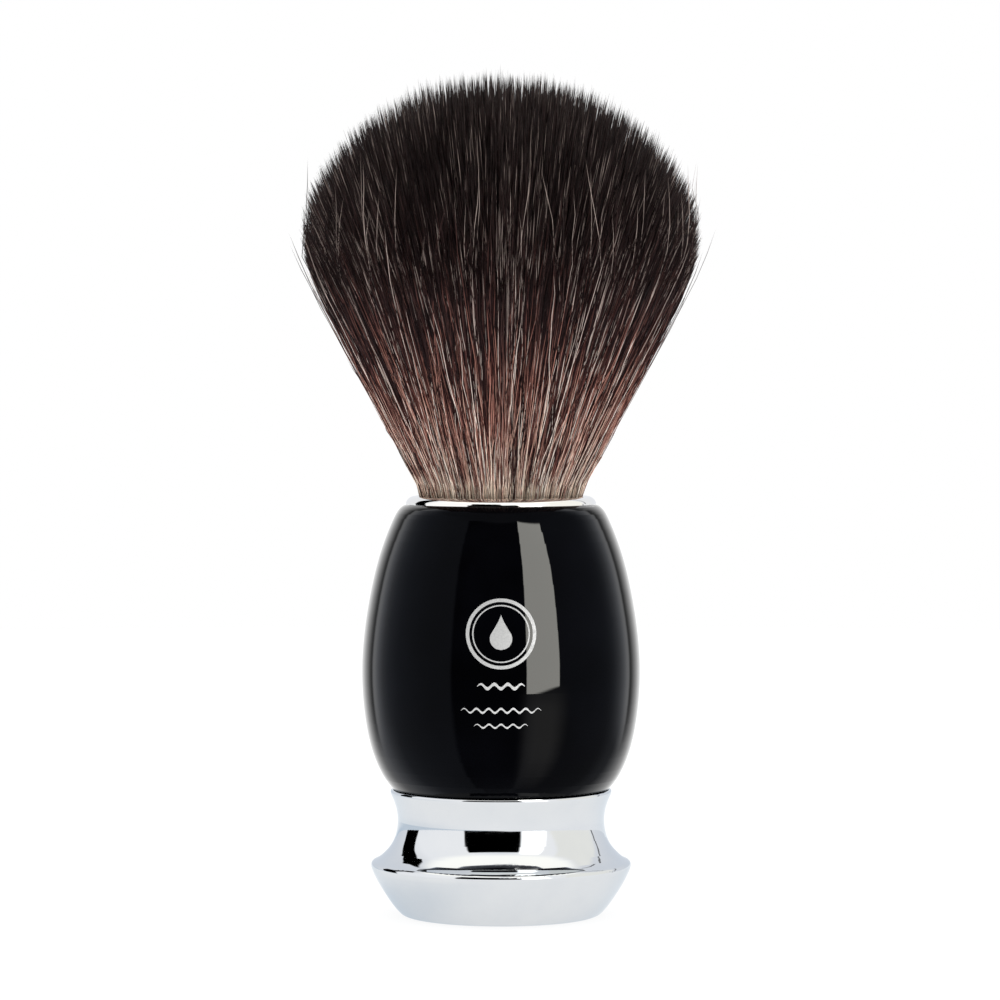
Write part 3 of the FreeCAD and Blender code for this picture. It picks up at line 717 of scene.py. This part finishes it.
# ------------------------------------------------------------ printed mark
def prism(strips, name, mat, proud=0.018, deep=0.030):
    """Thin closed strips that follow the barrel's front. Each strip is two
    lists of (x, z) points in mm, one for either edge."""
    barrel = NODES["barrel"]

    def on_barrel(x, z, off):
        hit, loc, nor, _ = barrel.ray_cast(Vector((x * MM, -0.04, z * MM)), Vector((0.0, 1.0, 0.0)))
        n = Vector((nor.x, nor.y, nor.z)).normalized()
        return loc + n * off * MM

    vs, fs = [], []
    for (left, right, loop) in strips:
        base = len(vs)
        k = len(left)
        for (a, b) in zip(left, right):
            vs += [on_barrel(a[0], a[1], proud), on_barrel(b[0], b[1], proud),
                   on_barrel(b[0], b[1], -deep), on_barrel(a[0], a[1], -deep)]
        for i in range(k if loop else k - 1):
            p, q = base + 4 * i, base + 4 * ((i + 1) % k)
            for s in range(4):
                s2 = (s + 1) % 4
                fs.append((p + s, q + s, q + s2, p + s2))
        if not loop:
            p, q = base, base + 4 * (k - 1)
            fs.append((p, p + 1, p + 2, p + 3))
            fs.append((q + 3, q + 2, q + 1, q))
    me = bpy.data.meshes.new(name)
    me.from_pydata([tuple(v) for v in vs], [], fs)
    me.validate()
    me.update()
    bm = bmesh.new()
    bm.from_mesh(me)
    bmesh.ops.recalc_face_normals(bm, faces=bm.faces)
    bm.to_mesh(me)
    bm.free()
    ob = bpy.data.objects.new(name, me)
    scene.collection.objects.link(ob)
    me.materials.append(mat)
    return ob


def mat_print():
    m, net, p = material("silver_print")
    obj, x, y, z, rad = turned_coords(net)
    speck = net.noise(obj, 3800.0, 3.0, 0.6)
    # painted highlight: the print is drawn lighter towards its lower right
    highlight_sweep = net.step(net.math("ADD", x, net.math("MULTIPLY", z, -0.6)), -0.026, -0.012)
    lo = net.mix(highlight_sweep, (0.60, 0.60, 0.59, 1), (0.76, 0.76, 0.75, 1))
    col = net.mix(net.step(speck, 0.35, 0.75), lo, (0.52, 0.52, 0.515, 1))
    net.put(p.inputs["Base Color"], col)
    p.inputs["Metallic"].default_value = 0.35
    net.put(p.inputs["Roughness"], net.step(speck, 0.3, 0.8, to=(0.38, 0.55)))
    net.put(p.inputs["Normal"], net.bump(speck, 0.15, 0.00002))
    return m


def ring_strip(cx, cz, r, wide, k=96):
    a = [2 * math.pi * i / k for i in range(k)]
    return ([(cx + (r - wide / 2) * math.cos(t), cz + (r - wide / 2) * math.sin(t)) for t in a],
            [(cx + (r + wide / 2) * math.cos(t), cz + (r + wide / 2) * math.sin(t)) for t in a], True)


def wave_strip(x0, x1, z, amp, turns, wide, k=90):
    left, right = [], []
    for i in range(k + 1):
        t = i / k
        x = x0 + (x1 - x0) * t
        zz = z + amp * math.sin(2 * math.pi * turns * t)
        end = min(1.0, 6.0 * t, 6.0 * (1.0 - t))
        w = 0.5 * wide * (0.25 + 0.75 * end)
        left.append((x, zz + w))
        right.append((x, zz - w))
    return left, right, False


def drop_strips(cx, cz, r, k=40, cols=8):
    """A water drop, filled, as side-by-side strips from tip to foot."""
    out = []
    for c in range(cols):
        f0, f1 = -1.0 + 2.0 * c / cols, -1.0 + 2.0 * (c + 1) / cols
        left, right = [], []
        for i in range(k + 1):
            t = i / k
            zz = 2.15 * r * (1.0 - t) - r * t
            if zz > 0.45 * r:
                s = (2.15 * r - zz) / (1.70 * r)
                w = 0.893 * r * s ** 1.25 + 0.02
            else:
                w = math.sqrt(max(r * r - zz * zz, 0.0)) + 0.02
            left.append((cx + w * f0, cz + zz))
            right.append((cx + w * f1, cz + zz))
        out.append((left, right, False))
    return out


mark = prism([ring_strip(0.0, 36.6, 4.1, 0.42), ring_strip(0.0, 36.6, 3.45, 0.16)]
             + drop_strips(0.0, 36.0, 1.35)
             + [wave_strip(-2.9, 2.9, 30.2, 0.28, 3.5, 0.42),
                wave_strip(-4.9, 4.9, 27.2, 0.26, 6.5, 0.27),
                wave_strip(-3.3, 3.3, 25.3, 0.22, 4.5, 0.22)],
             "printed_mark", mat_print())
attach(mark, "handle")


# --------------------------------------------------------- light and floor
def make_world():
    w = bpy.data.worlds.new("studio")
    scene.world = w
    w.use_nodes = True
    w.node_tree.nodes.clear()
    net = Net(w.node_tree)
    out = net.node("ShaderNodeOutputWorld")
    tc = net.node("ShaderNodeTexCoord")
    sep = net.node("ShaderNodeSeparateXYZ")
    net.put(sep.inputs[0], tc.outputs["Generated"])
    x, y, z = sep.outputs
    az = net.math("MULTIPLY", net.math("ARCTAN2", x, net.math("MULTIPLY", y, -1.0)), 180 / math.pi)
    el = net.math("MULTIPLY", net.math("ARCSINE", z), 180 / math.pi)
    side = net.math("ABSOLUTE", az)

    def box(a0, a1, e0, e1, sa=1.0, se=1.0, tilt=0.0, sl=None, foot=0.0, lean=0.0):
        """Window in direction: 1 inside. tilt lowers the top edge and foot
        raises the bottom edge, per degree to the right; lean moves it to the
        right, per degree up."""
        across = net.math("SUBTRACT", az, net.math("MULTIPLY", el, lean)) if lean else az
        top = net.math("ADD", el, net.math("MULTIPLY", net.math("SUBTRACT", az, 0.5 * (a0 + a1)), tilt)) if tilt else el
        low = se if sl is None else sl
        m1 = net.math("MULTIPLY", net.step(across, a0 - sa, a0 + sa), net.step(across, a1 - sa, a1 + sa, to=(1.0, 0.0)))
        bot = net.math("SUBTRACT", el, net.math("MULTIPLY", net.math("SUBTRACT", az, 0.5 * (a0 + a1)), foot)) if foot else el
        m2 = net.math("MULTIPLY", net.step(bot, e0 - low, e0 + low), net.step(top, e1 - se, e1 + se, to=(1.0, 0.0)))
        return net.math("MULTIPLY", m1, m2)

    def grey(v, cool=0.0):
        return (v * (1.0 - 0.5 * cool), v, v * (1.0 + cool), 1.0)

    def tents(stops):
        return net.ramp(net.math("DIVIDE", side, 180.0), [(a / 180.0, grey(v, c)[:3]) for (a, v, c) in stops])

    # soft gloss (chrome): an even pale tent, warmer and brighter overhead
    pale = tents([(0, 1.04, 0.02), (40, 1.12, 0.00), (100, 1.10, 0.01), (125, 0.92, 0.03), (150, 0.88, 0.04), (180, 0.86, 0.05)])
    pale = net.mix(net.step(el, 46.0, 58.0), pale, (1.36, 1.34, 1.26, 1))
    pale = net.mix(box(-41, 22, -10, 43.5, 1.6, 0.8), pale, (0.0, 0.0, 0.0, 1))
    pale = net.mix(box(24, 50, -9.5, 47.0, 3.0, 4.0), pale, (2.6, 2.58, 2.5, 1))
    pale = net.mix(box(56.0, 116.0, -9.5, 50.0, 4.0, 4.0, lean=0.4), pale, (1.05, 1.04, 0.98, 1))
    pale = net.mix(box(118.0, 120.4, -12, 47, 0.4, 0.8, lean=0.60), pale, grey(0.16))
    pale = net.mix(box(-127, -104, -12, 47, 0.8, 1.0, lean=-0.35), pale, (0.0, 0.0, 0.0, 1))

    # mirror gloss (barrel): darker sides, bright behind with one dark seam,
    # and the hot panel of the soft box on the right
    mirror = tents([(0, 0.50, 0.10), (60, 0.56, 0.16), (94, 0.66, 0.20), (107, 0.84, 0.16), (114.5, 1.15, 0.10),
                    (122, 1.85, 0.08), (127, 2.45, 0.04), (130.5, 2.35, 0.02), (134, 0.42, 0.0), (136.5, 0.50, 0.0),
                    (143, 1.38, 0.0), (149, 1.82, 0.0), (156, 2.1, 0.0), (166, 1.8, 0.0), (180, 1.6, 0.0)])
    # low down the seam closes
    low_l = tents([(0, 0.50, 0.10), (60, 0.56, 0.16), (101, 0.72, 0.16), (119, 1.35, 0.10), (130, 1.50, 0.06),
                   (140, 1.45, 0.02), (150, 1.90, 0.0), (166, 1.90, 0.0), (180, 1.7, 0.0)])
    low_r = tents([(0, 0.50, 0.10), (60, 0.60, 0.12), (107, 0.56, 0.12), (121, 0.52, 0.10), (128, 1.00, 0.05),
                   (136, 1.55, 0.02), (146, 1.90, 0.0), (166, 1.90, 0.0), (180, 1.7, 0.0)])
    low = net.mix(net.step(az, -10.0, 10.0), low_l, low_r)
    mirror = net.mix(net.step(el, -20.0, -7.0), low, mirror)
    right = net.math("MULTIPLY", net.step(az, 20.0, 40.0), net.step(az, 98.0, 116.0, to=(1.0, 0.0)))
    mirror = net.mix(net.math("MULTIPLY", right, 0.36), mirror, (0.0, 0.0, 0.0, 1))
    mirror = net.mix(net.math("MULTIPLY", net.step(el, 44.0, 52.0), net.step(side, 95.0, 125.0, to=(0.5, 0.0))),
                     mirror, (0.25, 0.25, 0.26, 1))
    # the floor in front falls away into the dark room
    mirror = net.mix(box(-41, 21, -70, 46.5, 3.0, 1.2, sl=28.0), mirror, (0.03, 0.03, 0.035, 1))
    mirror = net.mix(box(-41, 21, -14, 46.5, 1.6, 1.2, sl=5.0), mirror, (0.0, 0.0, 0.0, 1))
    mirror = net.mix(box(22, 52, -50, -9, 10.0, 6.0, sl=24.0), mirror, (2.0, 1.98, 1.92, 1))
    mirror = net.mix(box(21, 49, -7.4, 44.6, 0.5, 0.5, tilt=0.15, foot=0.10), mirror, (31.0, 30.6, 28.4, 1))

    # what lights everything else: an even tent, a little stronger at the sides
    soft = net.mix(net.step(side, 15.0, 75.0), grey(1.12), grey(1.70, 0.01))
    soft = net.mix(net.step(el, 30.0, 80.0), soft, grey(1.60, 0.01))
    lp = net.node("ShaderNodeLightPath")
    seen = net.mix(lp.outputs["Is Glossy Ray"], soft, pale)
    seen = net.mix(lp.outputs["Is Singular Ray"], seen, mirror)
    seen = net.mix(lp.outputs["Is Camera Ray"], seen, (1.0, 1.0, 1.0, 1))
    bg = net.node("ShaderNodeBackground")
    net.put(bg.inputs["Color"], seen)
    bg.inputs["Strength"].default_value = 1.0
    net.put(out.inputs["Surface"], bg.outputs[0])
    w.cycles.sampling_method = "NONE"


def make_floor():
    me = bpy.data.meshes.new("floor")
    segs, rings = 128, [0.0, 0.012, 0.03, 0.06, 0.1, 0.15, 0.25, 0.6]
    vs, fs = [(0, 0, 0)], []
    for r in rings[1:]:
        for i in range(segs):
            a = 2 * math.pi * i / segs
            vs.append((r * math.cos(a), r * math.sin(a), 0.0))
    for i in range(segs):
        fs.append((0, 1 + i, 1 + (i + 1) % segs))
    for k in range(len(rings) - 2):
        o, q = 1 + k * segs, 1 + (k + 1) * segs
        for i in range(segs):
            j = (i + 1) % segs
            fs.append((o + i, q + i, q + j, o + j))
    me.from_pydata(vs, [], fs)
    ob = bpy.data.objects.new("floor", me)
    ob.location = (0, 0, -0.00002)
    scene.collection.objects.link(ob)
    m, net, p = material("pale_floor")
    tc = net.node("ShaderNodeTexCoord")
    n = net.noise(tc.outputs["Object"], 12.0, 2.0)
    net.put(p.inputs["Base Color"], net.mix(n, (0.13, 0.131, 0.133, 1), (0.15, 0.151, 0.153, 1)))
    p.inputs["Roughness"].default_value = 0.8
    p.inputs["Specular IOR Level"].default_value = 0.0
    fx = net.node("ShaderNodeSeparateXYZ")
    net.put(fx.inputs[0], tc.outputs["Object"])
    glo = net.node("ShaderNodeLightPath").outputs["Is Glossy Ray"]
    # painted shade, seen only by glossy rays: the floor is darker and bluer to the left, darker still in a contact
    # shadow just left of the foot, and a little under white to the right
    shade = net.mix(net.step(fx.outputs[0], -0.15, -0.030), (0.56, 0.65, 0.74, 1), (1.0, 1.005, 1.0, 1))
    flat = net.math("SQRT", net.math("ADD", net.math("POWER", fx.outputs[0], 2.0), net.math("POWER", fx.outputs[1], 2.0)))
    near = net.math("MULTIPLY", net.step(flat, 0.0155, 0.0245, to=(0.42, 0.0)), net.step(fx.outputs[0], -0.014, -0.001, to=(1.0, 0.0)))
    shade = net.mix(near, shade, (0.55, 0.64, 0.73, 1))
    shade = net.mix(net.step(fx.outputs[0], 0.03, 0.12), shade, (0.94, 0.95, 0.96, 1))
    net.put(p.inputs["Emission Color"], net.mix(glo, (1, 1, 1, 1), shade))
    p.inputs["Emission Strength"].default_value = 0.86
    # a mirror-smooth surface sees through it to the shaded room
    clear = net.node("ShaderNodeBsdfTransparent")
    blend = net.node("ShaderNodeMixShader")
    lp = net.node("ShaderNodeLightPath")
    net.put(blend.inputs[0], lp.outputs["Is Singular Ray"])
    net.put(blend.inputs[1], p.outputs["BSDF"])
    net.put(blend.inputs[2], clear.outputs[0])
    net.put(m.node_tree.nodes["Material Output"].inputs["Surface"], blend.outputs[0])
    me.materials.append(m)
    return ob


make_world()
make_floor()
